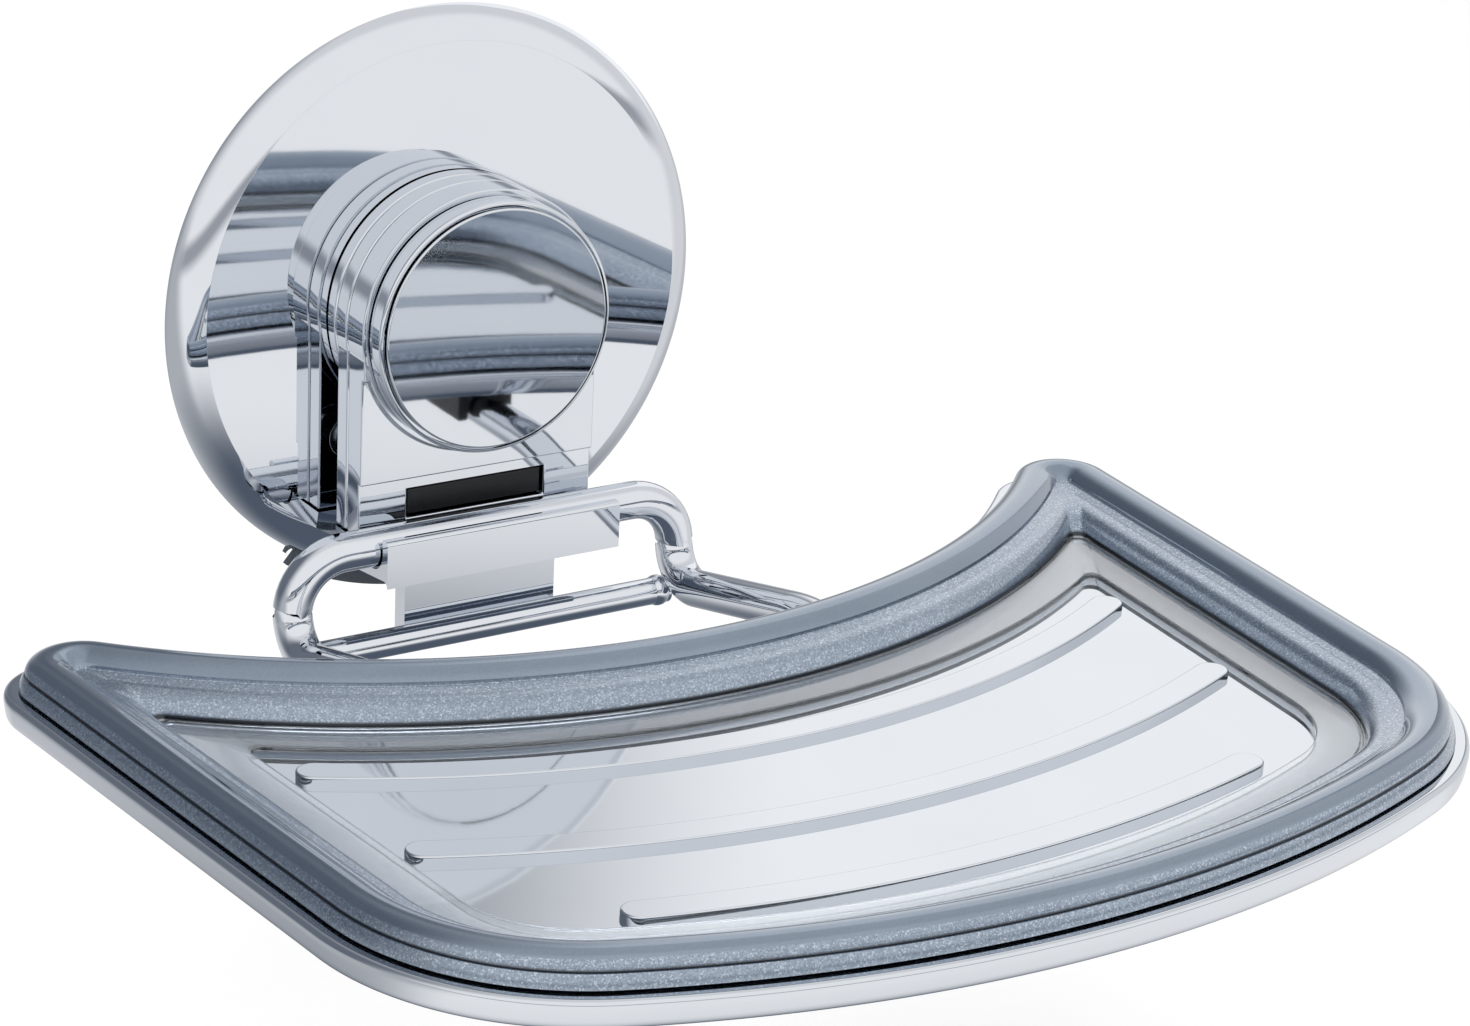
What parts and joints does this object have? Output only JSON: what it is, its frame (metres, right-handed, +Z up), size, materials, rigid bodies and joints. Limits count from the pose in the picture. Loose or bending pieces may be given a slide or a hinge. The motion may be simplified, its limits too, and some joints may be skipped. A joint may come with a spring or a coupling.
{
  "type": "suction_soap_dish",
  "caption": "Chrome soap dish with a smoky clear rim on a wire frame that hooks on a screw-down suction cup for a tiled wall",
  "frame": {"origin": "the centre of the suction pad's flat face, which lies on the wall", "axes": "+Y points into the wall, along the cup's axis; +Z is up; +X is to the right for someone who faces the wall; the tray stands out toward -Y"},
  "size_m": [0.1558, 0.1478, 0.0803],
  "materials": {
    "chrome_plated_plastic": "bright chrome plate on moulded ABS",
    "chromed_steel": "polished chrome",
    "smoky_clear": "clear tinted acrylic, polished",
    "pad_grey": "satin soft PVC",
    "black_rubber": "matt",
    "white_plastic": "moulded satin",
    "brass": "machined",
    "plain_steel": "zinc plated"
  },
  "bodies": {
    "cup": {"suction_pad": "pad_grey", "pressure_ring": "white_plastic", "cover": "chromed_steel", "collar": "chrome_plated_plastic"},
    "stud": {"pad_stud": "plain_steel"},
    "knob": {"knob_body": "chrome_plated_plastic", "knob_nut": "brass", "knob_cap": "chrome_plated_plastic"},
    "bracket": {"bracket_back": "chrome_plated_plastic", "bracket_front": "chrome_plated_plastic", "window_pad": "black_rubber", "hook_block": "chrome_plated_plastic", "slip_washer": "white_plastic", "bracket_screw_left": "plain_steel", "bracket_screw_right": "plain_steel", "hook_screw_left": "plain_steel", "hook_screw_right": "plain_steel"},
    "frame": {"wire_frame": "chromed_steel", "cross_wire": "chromed_steel"},
    "tray": {"tray_base": "chrome_plated_plastic", "rear_saddle_left": "black_rubber", "rear_saddle_right": "black_rubber", "front_saddle_left": "black_rubber", "front_saddle_right": "black_rubber", "side_foot_left": "pad_grey", "side_foot_right": "pad_grey", "front_foot_left": "pad_grey", "front_foot_right": "pad_grey"},
    "rim": {"tray_rim": "smoky_clear"}
  },
  "joints": [
    {"name": "knob_turn", "type": "hinge", "parent": "cup", "child": "knob", "pos_m": [0, -0.0163, 0], "axis": [0, 1, 0], "range_deg": [0, 450]},
    {"name": "stud_pull", "type": "slide", "parent": "cup", "child": "stud", "axis": [0, -1, 0], "range_m": [0, 0.00126]},
    {"name": "bracket_swivel", "type": "hinge", "parent": "cup", "child": "bracket", "pos_m": [0, -0.0107, 0], "axis": [0, 1, 0], "continuous": true},
    {"name": "frame_tilt", "type": "hinge", "parent": "bracket", "child": "frame", "pos_m": [0, -0.0174, -0.0267], "axis": [-1, 0, 0], "range_deg": [0, 90]},
    {"name": "tray_lift", "type": "slide", "parent": "frame", "child": "tray", "axis": [0, 0, 1], "range_m": [0, 0.03]},
    {"name": "rim_lift", "type": "slide", "parent": "tray", "child": "rim", "axis": [0, 0, 1], "range_m": [0, 0.025]}
  ],
  "couplings": [
    {"joint": "stud_pull", "follows": "knob_turn", "m_per_rad": 0.00015915}
  ]
}
